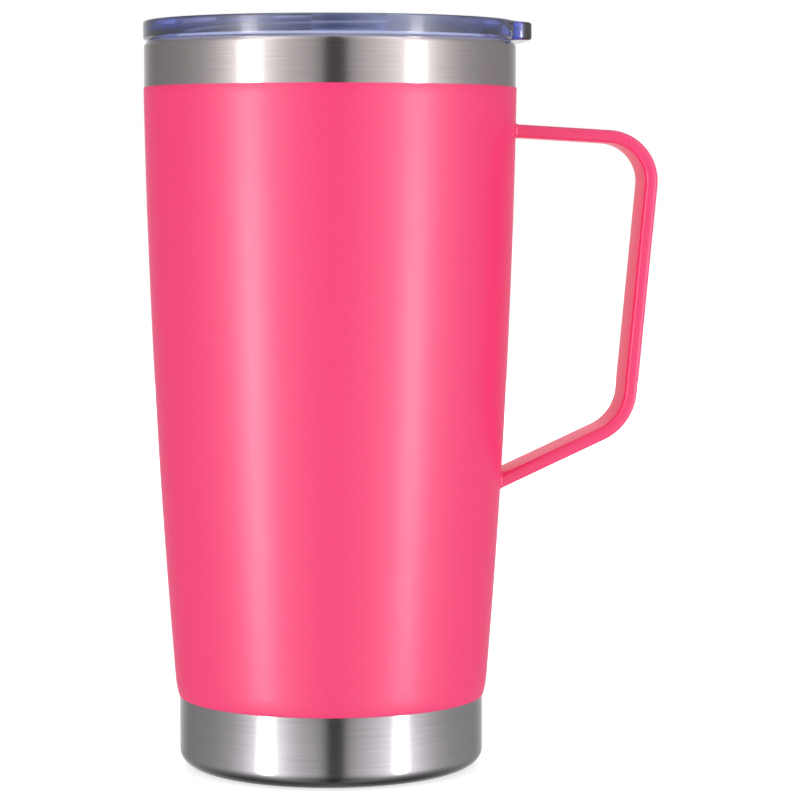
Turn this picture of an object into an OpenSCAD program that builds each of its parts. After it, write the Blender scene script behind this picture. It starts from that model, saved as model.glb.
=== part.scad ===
// Double-wall steel tumbler with a welded strap handle, a clear press-in lid and a sliding closure.
// Origin: centre of the foot ring, on the surface that the tumbler stands on.
// +Z is up and +X points to the handle and to the lid's thumb tab. All sizes are in millimetres.

/* [Tumbler] */
// Height from the table to the top of the lid
total_h = 175; // [168:0.5:182]
// Outer radius of the bare steel band at the mouth
mouth_r = 43.4; // [42.5:0.1:44.5]
// Height of the bare steel band between the coat and the lip
band_h = 10.7; // [8.5:0.1:12]
// Outer radius of the bare steel foot
foot_r = 35.8; // [35:0.1:36.2]
// Height of the bare steel foot
foot_h = 16.9; // [14:0.1:18]
// Width of the rounded edge between the foot's side and its underside
foot_edge_w = 5.6; // [4.5:0.1:6.5]
// Height of that rounded edge
foot_edge_h = 4; // [3.5:0.1:5]
// Height of the rounded shoulder between the foot and the wall
shoulder_h = 4; // [3:0.1:5]
// How much wider the wall is than the foot, above the shoulder
shoulder_step = 0.78; // [0.6:0.02:1]
// How far the wall swells beyond a straight taper, halfway up
wall_bow = 1.14; // [0.8:0.02:1.4]

/* [Wall] */
// Thickness of the outer steel sheet
shell_t = 0.5; // [0.4:0.05:0.6]
// Thickness of the inner steel sheet
liner_t = 0.4; // [0.35:0.05:0.5]
// Width of the evacuated gap between the two sheets
vacuum_gap = 2.6; // [2.4:0.1:2.8]
// Thickness of the powder coat
coat_t = 0.2; // [0.15:0.01:0.25]
// Radius of each rolled edge of the lip
lip_edge_r = 1.5; // [1.2:0.1:1.6]
// Height of the drinking space's floor
floor_z = 12; // [11:0.5:14]
// Radius between the drinking space's floor and its wall
floor_edge_r = 8; // [6:0.5:9]

/* [Handle] */
// Width of the strap
strap_w = 16; // [14:0.5:18]
// Thickness of the strap
strap_t = 3; // [2.5:0.1:3.2]
// Radius of the strap's four long edges
strap_edge_r = 1; // [0.6:0.1:1.2]
// Distance from the axis to the outer upper corner, before it is rounded
handle_out = 77.5; // [74:0.5:80]
// Height of the outer upper corner, before it is rounded
handle_top_z = 149.1; // [146:0.1:150]
// Height of the outer lower corner, before it is rounded
handle_bottom_z = 80.4; // [76:0.1:84]
// Slope of the upper arm, down towards the grip, in degrees
arm_slope = 3.4; // [2:0.1:5]
// Lean of the grip, inwards towards its lower end, in degrees
grip_lean = 5.4; // [4:0.1:7]
// Slope of the lower arm, down towards the wall, in degrees
heel_slope = 24.8; // [20:0.1:28]
// Outer radius of the upper bend
upper_bend_r = 12; // [9:0.5:14]
// Outer radius of the lower bend
lower_bend_r = 13.4; // [10:0.2:15]
// Width of the weld fillet round each end of the handle
weld_w = 1; // [0.6:0.1:1.2]

/* [Lid] */
// Outer radius of the lid's flange
lid_r = 43.6; // [43.5:0.1:44]
// Thickness of the flange
flange_t = 4.5; // [4.3:0.1:5]
// Depth of the recess in the lid's top
recess_depth = 9.4; // [9:0.1:10]
// Thickness of the recessed deck
deck_t = 2; // [1.8:0.1:2.2]
// How far the skirt reaches below the flange
skirt_h = 11.2; // [11:0.1:12]
// Half the width of the thumb tab
tab_half_w = 13; // [10:0.5:14]
// Distance from the axis to the tab's outer face
tab_out = 46.3; // [46:0.1:48]

/* [Slider] */
// Travel of the slider, from closed to open
slider_travel = 15; // [12:0.5:15]
// Half the width of the slider's lower plate
slider_half_w = 10.9; // [10:0.1:11]
// Play between the slider and its guides
slider_play = 0.3; // [0.25:0.05:0.35]
// Length of the drinking slot, across the slider's travel
slot_l = 16; // [12:0.5:17]
// Width of the drinking slot, along the slider's travel
slot_w = 6.4; // [5.5:0.1:7]
// Diameter of the vent hole
vent_d = 3; // [2:0.5:4]

/* [Hidden] */
$fn = 120;

// Fits and small gaps
seat_gap = 0.1;       // between the lip and the flange that rests on it
far = 60;             // reaches beyond any part, for cutting
overlap = 0.5;        // how far shapes of one piece run into each other

// Heights of the tumbler
flange_z = total_h - flange_t;
lip_z = flange_z - seat_gap;
band_z = lip_z - band_h;
shoulder_z = foot_h + shoulder_h;
seam_z = foot_h + 0.6;            // the foot's weld seam, just under the coat's lower edge

// The wall: a straight taper with a parabolic swell, and a rounded shoulder under it
shoulder_r = foot_r + shoulder_step;
wall_slope = (mouth_r - shoulder_r + 4 * wall_bow) / (band_z - shoulder_z);
shoulder_curve = (shoulder_step - wall_slope * shoulder_h) / pow(shoulder_h, 2);
wall_steps = 20;
shoulder_steps = 6;
double_wall = shell_t + vacuum_gap + liner_t;

// The lip, where the two sheets are rolled towards each other and welded
bore_r = mouth_r - double_wall;
lip_weld_r = (mouth_r + bore_r) / 2;
lip_edge_z = lip_z - lip_edge_r;

// The foot's underside
foot_ring_r = foot_r - foot_edge_w;   // outer radius of the ring that it stands on
foot_ring_w = 2.7;
recess_rise = 2.4;
recess_slope_w = 2.1;
dimple_r = 4;
dimple_rise = 1.2;
port_r = 1.5;
bead_r = 3.2;
bead_h = 0.8;

// The parts inside the vacuum
liner_seam_z = 24;
foil_t = 0.1;
foil_gap = 0.05;
foil_low_z = 30;
foil_high_z = 150;
clip_x = -16;
clip_r = 5;
clip_t = 0.3;
clip_h = 2.4;

// The lid
deck_z = total_h - recess_depth;
skirt_z = flange_z - skirt_h;
skirt_r = bore_r - 0.7;
groove_r = skirt_r - 1.5;
groove_low_z = skirt_z + 2.8;
groove_high_z = groove_low_z + 4;
gasket_r = bore_r - 0.35;
gasket_root_t = 0.9;
gasket_play = 0.1;
gasket_fin_t = 0.45;
recess_r = 36.4;
recess_rim_r = 38.6;
under_deck_r = 36.2;
under_rim_r = 36.6;
lid_edge_r = 0.5;
rim_edge_r = 0.8;
skirt_chamfer_w = 0.6;
skirt_chamfer_h = 0.8;
flange_chamfer_w = 0.75;
flange_chamfer_h = 0.55;
tab_t = 4.2;
tab_corner_r = 4.5;

// The slider and its guides, along X from the front at -X
slider_z = deck_z + 0.1;
slider_plate_t = 2.2;
slider_block_t = 2.5;
slider_back_x = -5;
slider_nose_r = 35.3;
block_half_w = 9.2;
rail_t = 1.6;
rail_lip_t = 1.6;
rail_front_x = -33;
rail_back_x = slider_back_x + slider_travel + slider_play;
stop_t = 2;
slot_x = -29;
vent_x = 26;
grip_x = -20;
grip_half_l = 7;
grip_h = 3.2;
grip_scoop_r = 9;
grip_scoop_depth = 1.6;
grip_side_slope = 1.5;
grip_inset = 1.2;

// ---- Curves ----

// Outer radius of the steel wall at a height
function wall_r(z) =
    z >= band_z ? mouth_r
    : z >= shoulder_z ? let (u = (z - shoulder_z) / (band_z - shoulder_z))
        shoulder_r + (mouth_r - shoulder_r) * u + 4 * wall_bow * u * (1 - u)
    : z >= foot_h ? let (d = shoulder_z - z) shoulder_r - wall_slope * d - shoulder_curve * d * d
    : foot_r;

// Inner radius of the drinking space at a height, above its rounded floor edge
function liner_r(z) = wall_r(max(z, shoulder_z)) - double_wall;

// Points on an arc from angle a0 to a1, anticlockwise or clockwise
function arc(cx, cz, r, a0, a1, steps = 6) =
    [for (i = [0:steps]) let (a = a0 + (a1 - a0) * i / steps) [cx + r * cos(a), cz + r * sin(a)]];

// The foot's rounded edge from its side in to its ring, moved in by a distance
function foot_edge(inset = 0) = [for (i = [0:8]) let (a = 90 * i / 8)
    [foot_ring_r + (foot_edge_w - inset) * cos(a), foot_edge_h - (foot_edge_h - inset) * sin(a)]];

// The same points in the opposite order
function reversed(points) = [for (i = [len(points) - 1:-1:0]) points[i]];

// Points up or down the outer wall, moved out by a distance
function wall_points(z0, z1, out = 0, steps = wall_steps) =
    [for (i = [0:steps]) let (z = z0 + (z1 - z0) * i / steps) [wall_r(z) + out, z]];

// Points up or down the drinking space's wall, moved out by a distance
function liner_points(z0, z1, out = 0, steps = wall_steps) =
    [for (i = [0:steps]) let (z = z0 + (z1 - z0) * i / steps) [liner_r(z) + out, z]];

// The whole steel wall from the foot to the band, moved out by a distance
function whole_wall(out = 0) = concat(
    wall_points(foot_h, shoulder_z, out, shoulder_steps),
    wall_points(shoulder_z + 1, band_z, out));

module turned(points) rotate_extrude() polygon(points);

// ---- Steel body ----

module outer_shell() color("lightsteelblue") turned(concat(
    wall_points(seam_z, shoulder_z, 0, shoulder_steps),
    wall_points(shoulder_z + 1, band_z),
    arc(mouth_r - lip_edge_r, lip_edge_z, lip_edge_r, 0, 90),
    [[lip_weld_r, lip_z], [lip_weld_r, lip_z - shell_t]],
    arc(mouth_r - lip_edge_r, lip_edge_z, lip_edge_r - shell_t, 90, 0),
    wall_points(band_z, shoulder_z + 1, -shell_t),
    wall_points(shoulder_z, seam_z, -shell_t, shoulder_steps)));

module inner_liner() color("silver") turned(concat(
    liner_points(band_z, liner_seam_z),
    liner_points(liner_seam_z, band_z, liner_t),
    arc(bore_r + lip_edge_r, lip_edge_z, lip_edge_r - liner_t, 180, 90),
    [[lip_weld_r, lip_z - liner_t], [lip_weld_r, lip_z]],
    arc(bore_r + lip_edge_r, lip_edge_z, lip_edge_r, 90, 180)));

module liner_bottom() {
    edge_x = liner_r(floor_z) - floor_edge_r;
    edge_z = floor_z + floor_edge_r;
    color("silver") turned(concat(
        [[0, floor_z]],
        arc(edge_x, edge_z, floor_edge_r, -90, 0, 10),
        [[liner_r(liner_seam_z), liner_seam_z], [liner_r(liner_seam_z) + liner_t, liner_seam_z]],
        arc(edge_x, edge_z, floor_edge_r + liner_t, 0, -90, 10),
        [[0, floor_z - liner_t]]));
}

// The foot's outline from its seam down and in to the port, as the outside face
function foot_outside() = concat(
    wall_points(seam_z, foot_h, 0, 2),
    foot_edge(),
    [[foot_ring_r - foot_ring_w, 0], [foot_ring_r - foot_ring_w - recess_slope_w, recess_rise],
     [dimple_r + dimple_rise, recess_rise], [dimple_r, recess_rise + dimple_rise],
     [port_r, recess_rise + dimple_rise]]);

// The same outline from the port back up to the seam, as the inside face
function foot_inside() = concat(
    [[port_r, recess_rise + dimple_rise + shell_t],
     [dimple_r + shell_t / 2, recess_rise + dimple_rise + shell_t],
     [dimple_r + dimple_rise + shell_t / 2, recess_rise + shell_t],
     [foot_ring_r - foot_ring_w - recess_slope_w + shell_t / 2, recess_rise + shell_t],
     [foot_ring_r - foot_ring_w + shell_t, shell_t]],
    reversed(foot_edge(shell_t)),
    wall_points(foot_h, seam_z, -shell_t, 2));

module base_cup() color("lightgray") turned(concat(foot_outside(), foot_inside()));

// ---- Parts sealed in the vacuum ----

module copper_foil() color("peru") turned(concat(
    liner_points(foil_low_z, foil_high_z, liner_t + foil_gap + foil_t),
    liner_points(foil_high_z, foil_low_z, liner_t + foil_gap)));

module getter_clip() color("slategray")
    translate([clip_x, 0, recess_rise + shell_t]) difference() {
        cylinder(h = clip_h, r = clip_r);
        translate([0, 0, clip_t]) cylinder(h = clip_h, r = clip_r - clip_t);
    }

module getter_pellet() color("dimgray")
    translate([clip_x, 0, recess_rise + shell_t + clip_t])
        cylinder(h = clip_h - 2 * clip_t, r = clip_r - clip_t);

// A glass bead that fills the evacuation port and stands in the dimple
module port_seal() color("lightgray") translate([0, 0, recess_rise + dimple_rise]) {
    cylinder(h = shell_t, r = port_r);
    translate([0, 0, -bead_h]) cylinder(h = bead_h, r1 = bead_r - bead_h, r2 = bead_r);
}

// ---- Handle ----

// The strap's section, anticlockwise: x runs inwards from its outer face, y across its width
function strap_section(grow = 0) =
    let (r = strap_edge_r + grow, y = strap_w / 2 - strap_edge_r,
         x0 = strap_edge_r, x1 = strap_t - strap_edge_r)
    concat(arc(x0, -y, r, 180, 270, 3), arc(x1, -y, r, 270, 360, 3),
           arc(x1, y, r, 0, 90, 3), arc(x0, y, r, 90, 180, 3));

// Directions in the plane of the handle, as [x, z]: along the outer face, and inwards from it
arm_dir = [cos(arm_slope), -sin(arm_slope)];
grip_dir = [-sin(grip_lean), -cos(grip_lean)];
heel_dir = [-cos(heel_slope), -sin(heel_slope)];
function inwards(dir) = [dir[1], -dir[0]];

// Centre of a bend whose outer face is rounded at a corner between two straight runs
function bend_centre(corner, dir0, dir1, r) =
    corner + r * (inwards(dir0) + inwards(dir1)) / (1 + inwards(dir0) * inwards(dir1));

upper_corner = [handle_out, handle_top_z];
lower_corner = upper_corner + grip_dir * (handle_top_z - handle_bottom_z) / cos(grip_lean);
upper_centre = bend_centre(upper_corner, arm_dir, grip_dir, upper_bend_r);
lower_centre = bend_centre(lower_corner, grip_dir, heel_dir, lower_bend_r);

// Both arms are long enough to pass through the steel wall, and are then cut to its surface
arm_end = upper_centre - upper_bend_r * inwards(arm_dir);
heel_start = lower_centre - lower_bend_r * inwards(heel_dir);
arm_l = (arm_end[0] - bore_r) / cos(arm_slope);
heel_l = (heel_start[0] - shoulder_r) / cos(heel_slope);

// Rings along the strap, each a point on its outer face and the direction inwards from there
function bend_rings(centre, r, a0, a1, steps) =
    [for (i = [0:steps]) let (a = a0 + (a1 - a0) * i / steps, out = [cos(a), sin(a)])
        [centre + r * out, -out]];
strap_rings = concat(
    [[arm_end - arm_dir * arm_l, inwards(arm_dir)]],
    bend_rings(upper_centre, upper_bend_r, 90 - arm_slope, -grip_lean, 14),
    bend_rings(lower_centre, lower_bend_r, -grip_lean, heel_slope - 90, 9),
    [[heel_start + heel_dir * heel_l, inwards(heel_dir)]]);

// The whole strap, swept through its rings
module handle_blank() {
    section = strap_section();
    n = len(section);
    last = len(strap_rings) - 1;
    points = [for (ring = strap_rings, p = section)
        [ring[0][0] + ring[1][0] * p[0], p[1], ring[0][1] + ring[1][1] * p[0]]];
    sides = [for (k = [0:last - 1], i = [0:n - 1]) let (j = (i + 1) % n)
        [k * n + j, k * n + i, (k + 1) * n + i, (k + 1) * n + j]];
    caps = [[for (i = [0:n - 1]) i], [for (i = [n - 1:-1:0]) last * n + i]];
    polyhedron(points, concat(sides, caps));
}

// One straight arm of the strap, from a point [x, z] on its outer face
module arm_run(start, dir, length, grow)
    translate([start[0], 0, start[1]]) rotate([0, atan2(dir[0], dir[1]), 0])
        linear_extrude(length) polygon(strap_section(grow));

// Both arms, grown all round
module grown_arms(grow) {
    arm_run(arm_end - arm_dir * arm_l, arm_dir, arm_l, grow);
    arm_run(heel_start, heel_dir, heel_l, grow);
}

// Everything inside the steel wall's outer face
module wall_core() turned(concat([[0, foot_h]], whole_wall(), [[mouth_r, lip_z], [0, lip_z]]));

module handle() color("hotpink") difference() {
    handle_blank();
    wall_core();
}

module handle_welds() color("hotpink") difference() {
    intersection() {
        turned(concat(whole_wall(coat_t + weld_w), [[0, band_z], [0, foot_h]]));
        grown_arms(weld_w);
    }
    wall_core();
    handle_blank();
}

// The coat is bare steel where the handle is welded on, because the weld is made first
module powder_coat() color("deeppink") difference() {
    turned(concat(
        whole_wall(coat_t),
        wall_points(band_z, shoulder_z + 1),
        wall_points(shoulder_z, foot_h, 0, shoulder_steps)));
    grown_arms(weld_w);
}

// ---- Lid ----

module lid_shape() turned(concat(
    [[0, deck_z], [recess_r, deck_z], [recess_rim_r, total_h - rim_edge_r]],
    arc(recess_rim_r + rim_edge_r, total_h - rim_edge_r, rim_edge_r, 165, 90, 4),
    arc(lid_r - lid_edge_r, total_h - lid_edge_r, lid_edge_r, 90, 0),
    [[lid_r, flange_z + flange_chamfer_h], [lid_r - flange_chamfer_w, flange_z],
     [skirt_r, flange_z], [skirt_r, groove_high_z], [groove_r, groove_high_z],
     [groove_r, groove_low_z], [skirt_r, groove_low_z], [skirt_r, skirt_z + skirt_chamfer_h],
     [skirt_r - skirt_chamfer_w, skirt_z], [under_rim_r, skirt_z], [under_deck_r, deck_z - deck_t],
     [0, deck_z - deck_t]]));

// A thumb tab with round corners, in plan
module thumb_tab() {
    straight_w = 2 * (tab_half_w - tab_corner_r);
    translate([0, 0, flange_z]) linear_extrude(tab_t) difference() {
        union() {
            translate([0, -tab_half_w]) square([tab_out - tab_corner_r, 2 * tab_half_w]);
            translate([0, -straight_w / 2]) square([tab_out, straight_w]);
            for (side = [-1, 1])
                translate([tab_out - tab_corner_r, side * straight_w / 2]) circle(r = tab_corner_r);
        }
        circle(r = lid_r - 2);
    }
}

// One rail of the pair: a wall beside the slider, with a lip over the slider's edge
module rail() {
    rail_in = slider_half_w + slider_play;
    lip_in = block_half_w + slider_play;
    lip_low = slider_z + slider_plate_t + slider_play;
    length = rail_back_x + stop_t - rail_front_x;
    translate([rail_front_x, rail_in, deck_z - overlap])
        cube([length, rail_t, lip_low + rail_lip_t - deck_z + overlap]);
    translate([rail_front_x, lip_in, lip_low])
        cube([length, rail_in - lip_in + overlap, rail_lip_t]);
}

// The drinking slot, a slot with round ends across the slider's travel
module drinking_slot() translate([slot_x, 0, deck_z - deck_t - 1]) linear_extrude(deck_t + 2) {
    round_y = (slot_l - slot_w) / 2;
    translate([-slot_w / 2, -round_y]) square([slot_w, 2 * round_y]);
    for (side = [-1, 1]) translate([0, side * round_y]) circle(d = slot_w);
}

module lid_body() color("cornflowerblue", 0.5) difference() {
    union() {
        lid_shape();
        thumb_tab();
        rail();
        mirror([0, 1, 0]) rail();
        translate([rail_back_x, -slider_half_w - slider_play - overlap, deck_z - overlap])
            cube([stop_t, 2 * (slider_half_w + slider_play + overlap), slider_plate_t + overlap]);
    }
    drinking_slot();
    translate([vent_x, 0, deck_z - deck_t - 1]) cylinder(h = deck_t + 2, d = vent_d);
}

// A silicone ring with two soft fins that seal against the bore. A fin narrows towards its tip
module lid_gasket() {
    root_r = groove_r + gasket_root_t;
    low = groove_low_z + gasket_play;
    high = groove_high_z - gasket_play;
    function fin(z) = [[root_r, z], [gasket_r, z + gasket_fin_t / 2],
                       [gasket_r, z + gasket_fin_t], [root_r, z + 1.5 * gasket_fin_t]];
    color("whitesmoke") turned(concat(
        [[groove_r, low], [root_r, low]], fin(low + gasket_fin_t),
        fin(high - 2.5 * gasket_fin_t), [[root_r, high], [groove_r, high]]));
}

// ---- Slider ----

// The slider's plan: straight sides, a square back, and a nose that follows the recess
module slider_plan(half_w) intersection() {
    translate([-far, -half_w]) square([far + slider_back_x, 2 * half_w]);
    circle(r = slider_nose_r);
}

module slider() color("cornflowerblue", 0.6) {
    block_z = slider_z + slider_plate_t;
    grip_z = block_z + slider_block_t;
    translate([0, 0, slider_z]) linear_extrude(slider_plate_t) slider_plan(slider_half_w);
    translate([0, 0, block_z]) linear_extrude(slider_block_t) slider_plan(block_half_w);
    // A raised finger grip with a scooped top
    grip_half_w = block_half_w - grip_inset;
    top_half_l = grip_half_l - grip_side_slope;
    translate([grip_x, grip_half_w, grip_z]) rotate([90, 0, 0])
        linear_extrude(2 * grip_half_w) difference() {
            polygon([[-grip_half_l, -overlap], [grip_half_l, -overlap],
                     [top_half_l, grip_h], [-top_half_l, grip_h]]);
            translate([0, grip_h + grip_scoop_r - grip_scoop_depth]) circle(r = grip_scoop_r);
        }
}

outer_shell();
base_cup();
powder_coat();
inner_liner();
liner_bottom();
copper_foil();
getter_clip();
getter_pellet();
port_seal();
handle();
handle_welds();
lid_body();
lid_gasket();
slider();
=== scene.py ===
"""The looks of a double-wall steel tumbler with a welded strap handle, a clear press-in lid and its slider.

Every length is in metres, in the CAD model's frame: +Z is up, +X points to the handle and to the lid's
thumb tab, and the origin is the centre of the foot ring, on the floor.
"""

import math

import bmesh
import bpy
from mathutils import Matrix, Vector


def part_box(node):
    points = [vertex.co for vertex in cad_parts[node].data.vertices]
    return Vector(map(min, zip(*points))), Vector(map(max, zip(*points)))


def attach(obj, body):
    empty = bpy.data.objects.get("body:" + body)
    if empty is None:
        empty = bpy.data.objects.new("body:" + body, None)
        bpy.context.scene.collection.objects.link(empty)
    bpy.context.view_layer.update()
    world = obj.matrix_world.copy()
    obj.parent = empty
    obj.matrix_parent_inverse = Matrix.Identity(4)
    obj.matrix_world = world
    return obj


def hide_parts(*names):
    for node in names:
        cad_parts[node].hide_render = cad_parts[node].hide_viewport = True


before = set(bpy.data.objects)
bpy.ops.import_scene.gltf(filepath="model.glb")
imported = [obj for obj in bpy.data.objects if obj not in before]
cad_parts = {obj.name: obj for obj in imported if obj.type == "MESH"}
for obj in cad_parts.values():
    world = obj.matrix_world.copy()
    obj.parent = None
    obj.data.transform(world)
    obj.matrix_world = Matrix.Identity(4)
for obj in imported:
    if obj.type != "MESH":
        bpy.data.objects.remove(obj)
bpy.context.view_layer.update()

MM = 0.001

# ---- Sizes read from the CAD model ----

MOUTH_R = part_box("outer_shell")[1].x
LIP_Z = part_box("outer_shell")[1].z
SEAM_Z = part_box("outer_shell")[0].z
FOOT_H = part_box("powder_coat")[0].z
BAND_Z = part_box("powder_coat")[1].z
COAT_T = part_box("powder_coat")[1].x - MOUTH_R
TOTAL_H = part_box("lid_body")[1].z
TAB_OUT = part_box("lid_body")[1].x
LID_R = -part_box("lid_body")[0].x
SKIRT_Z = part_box("lid_body")[0].z
FLOOR_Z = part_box("liner_bottom")[0].z
LINER_SEAM_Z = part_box("liner_bottom")[1].z
HALF_STRAP_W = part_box("handle")[1].y
GASKET_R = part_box("lid_gasket")[1].x
GASKET_Z = (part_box("lid_gasket")[0].z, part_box("lid_gasket")[1].z)
PORT_TOP_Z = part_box("port_seal")[1].z

# ---- Sizes that no box gives, the same as in the CAD model ----

FOOT_R = 35.8 * MM
FOOT_EDGE_W = 5.6 * MM
FOOT_EDGE_H = 4 * MM
SHOULDER_H = 4 * MM
SHOULDER_STEP = 0.78 * MM
WALL_BOW = 1.14 * MM
SHELL_T = 0.5 * MM
LINER_T = 0.4 * MM
DOUBLE_WALL = 3.5 * MM
LIP_EDGE_R = 1.5 * MM
FLOOR_EDGE_R = 8 * MM
FOOT_RING_W = 2.7 * MM
RECESS_RISE = 2.4 * MM
RECESS_SLOPE_W = 2.1 * MM
DIMPLE_R = 4 * MM
DIMPLE_RISE = 1.2 * MM
PORT_R = 1.5 * MM
BEAD_R = 3.2 * MM
BEAD_H = 0.8 * MM

STRAP_T = 3 * MM
STRAP_EDGE_R = 1 * MM
HANDLE_OUT = 77.5 * MM
HANDLE_TOP_Z = 149.1 * MM
HANDLE_BOTTOM_Z = 80.4 * MM
ARM_SLOPE = math.radians(3.4)
GRIP_LEAN = math.radians(5.4)
HEEL_SLOPE = math.radians(24.8)
UPPER_BEND_R = 12 * MM
LOWER_BEND_R = 13.4 * MM
WELD_W = 0.6 * MM

FLANGE_T = 4.5 * MM
RECESS_DEPTH = 9.4 * MM
DECK_T = 2 * MM
RECESS_R = 36.4 * MM
RECESS_RIM_R = 38.6 * MM
UNDER_DECK_R = 36.2 * MM
UNDER_RIM_R = 36.6 * MM
LID_EDGE_R = 0.5 * MM
RIM_EDGE_R = 0.8 * MM
FLANGE_CHAMFER_W = 0.75 * MM
FLANGE_CHAMFER_H = 0.55 * MM
TAB_T = 4.2 * MM
TAB_HALF_W = 13 * MM
TAB_CORNER_R = 4.5 * MM
TAB_EDGE_R = 0.7 * MM
SLIDER_PLATE_T = 2.2 * MM
SLIDER_BLOCK_T = 2.5 * MM
SLIDER_HALF_W = 10.9 * MM
SLIDER_NOSE_R = 35.3 * MM
SLIDER_BACK_X = -5 * MM
SLIDER_PLAY = 0.3 * MM
BLOCK_HALF_W = 9.2 * MM
RAIL_T = 1.6 * MM
RAIL_LIP_T = 1.6 * MM
RAIL_FRONT_X = -33 * MM
RAIL_BACK_X = 10.3 * MM
STOP_T = 2 * MM
SLOT_X = -29 * MM
SLOT_L = 16 * MM
SLOT_W = 6.4 * MM
VENT_X = 26 * MM
VENT_R = 1.5 * MM
GRIP_X = -20 * MM
GRIP_HALF_L = 7 * MM
GRIP_H = 3.2 * MM
GRIP_SCOOP_R = 9 * MM
GRIP_SCOOP_DEPTH = 1.6 * MM
GRIP_SIDE_SLOPE = 1.5 * MM
GRIP_INSET = 1.2 * MM

# ---- Places that follow from these ----

SHOULDER_Z = FOOT_H + SHOULDER_H
SHOULDER_R = FOOT_R + SHOULDER_STEP
WALL_SLOPE = (MOUTH_R - SHOULDER_R + 4 * WALL_BOW) / (BAND_Z - SHOULDER_Z)
SHOULDER_CURVE = (SHOULDER_STEP - WALL_SLOPE * SHOULDER_H) / SHOULDER_H**2
BORE_R = MOUTH_R - DOUBLE_WALL
LIP_WELD_R = (MOUTH_R + BORE_R) / 2
LIP_EDGE_Z = LIP_Z - LIP_EDGE_R
FLANGE_Z = TOTAL_H - FLANGE_T
DECK_Z = TOTAL_H - RECESS_DEPTH
SLIDER_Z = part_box("slider")[0].z
SKIRT_R = BORE_R - 0.7 * MM
GROOVE_R = SKIRT_R - 1.5 * MM
GROOVE_LOW_Z = SKIRT_Z + 2.8 * MM
GROOVE_HIGH_Z = GROOVE_LOW_Z + 4 * MM

ROUND_STEPS = 192       # faces round the axis
WALL_STEPS = 64         # faces up the tapered wall
SMOOTH_ANGLE = math.radians(32)


# ---- Outlines: lists of (radius, height) ----

def wall_radius(z):
    """Outer radius of the steel wall at a height: a straight taper that swells, over a rounded shoulder."""
    if z >= BAND_Z:
        return MOUTH_R
    if z >= SHOULDER_Z:
        u = (z - SHOULDER_Z) / (BAND_Z - SHOULDER_Z)
        return SHOULDER_R + (MOUTH_R - SHOULDER_R) * u + 4 * WALL_BOW * u * (1 - u)
    if z >= FOOT_H:
        d = SHOULDER_Z - z
        return SHOULDER_R - WALL_SLOPE * d - SHOULDER_CURVE * d * d
    return FOOT_R


def liner_radius(z):
    """Radius of the drinking space at a height, above its rounded floor edge."""
    return wall_radius(max(z, SHOULDER_Z)) - DOUBLE_WALL


def run(radius_at, z0, z1, out=0.0, steps=WALL_STEPS):
    """Points along a wall from one height to another, moved out by a distance."""
    heights = [z0 + (z1 - z0) * i / steps for i in range(steps + 1)]
    return [(radius_at(z) + out, z) for z in heights]


def arc(r, z, radius, start, end, steps=8):
    """Points on an arc between two angles, in degrees from the outward direction."""
    angles = [math.radians(start + (end - start) * i / steps) for i in range(steps + 1)]
    return [(r + radius * math.cos(a), z + radius * math.sin(a)) for a in angles]


def foot_edge(inset=0.0, steps=18):
    """The foot's rounded edge from its side in to its ring, moved in by a distance."""
    angles = [math.pi / 2 * i / steps for i in range(steps + 1)]
    return [(FOOT_R - FOOT_EDGE_W + (FOOT_EDGE_W - inset) * math.cos(a),
             FOOT_EDGE_H - (FOOT_EDGE_H - inset) * math.sin(a)) for a in angles]


def rounded(corners, steps=5):
    """A closed outline from (x, y, radius) corners, each rounded by its radius."""
    points = []
    for i, (x, y, radius) in enumerate(corners):
        here = Vector((x, y))
        before = (Vector(corners[i - 1][:2]) - here).normalized()
        after = (Vector(corners[(i + 1) % len(corners)][:2]) - here).normalized()
        half = before.angle(after, math.pi) / 2
        if radius <= 0 or half > math.radians(89):
            points.append((x, y))
            continue
        centre = here + (before + after).normalized() * (radius / math.sin(half))
        start = here + before * (radius / math.tan(half)) - centre
        turn = start.angle_signed(here + after * (radius / math.tan(half)) - centre)
        for k in range(steps + 1):
            a = -turn * k / steps
            spoke = Vector((start.x * math.cos(a) - start.y * math.sin(a),
                            start.x * math.sin(a) + start.y * math.cos(a)))
            points.append(tuple(centre + spoke))
    return points


# ---- Meshes ----

def finished(name, bm):
    """A new object from a bmesh: welded, faces outwards, smooth apart from its sharp edges."""
    bmesh.ops.remove_doubles(bm, verts=bm.verts, dist=1e-7)
    bmesh.ops.dissolve_degenerate(bm, edges=bm.edges, dist=1e-7)
    bmesh.ops.recalc_face_normals(bm, faces=bm.faces)
    mesh = bpy.data.meshes.new(name)
    bm.to_mesh(mesh)
    bm.free()
    mesh.shade_smooth()
    mesh.set_sharp_from_angle(angle=SMOOTH_ANGLE)
    obj = bpy.data.objects.new(name, mesh)
    bpy.context.scene.collection.objects.link(obj)
    return obj


def skinned(name, loops, ring):
    """A closed solid through a row of closed loops. A ring joins its ends, and otherwise they are capped."""
    bm = bmesh.new()
    rows = [[bm.verts.new(p) for p in loop] for loop in loops]
    count = len(rows[0])
    last = len(rows) if ring else len(rows) - 1
    for k in range(last):
        a, b = rows[k], rows[(k + 1) % len(rows)]
        for i in range(count):
            j = (i + 1) % count
            bm.faces.new((a[i], a[j], b[j], b[i]))
    if not ring:
        bm.faces.new(rows[0])
        bm.faces.new(rows[-1])
    return finished(name, bm)


def turned(name, outline, steps=ROUND_STEPS):
    """A closed solid, turned round the Z axis from a closed outline."""
    angles = [2 * math.pi * k / steps for k in range(steps)]
    loops = [[(r * math.cos(a), r * math.sin(a), z) for r, z in outline] for a in angles]
    return skinned(name, loops, ring=True)


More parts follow.
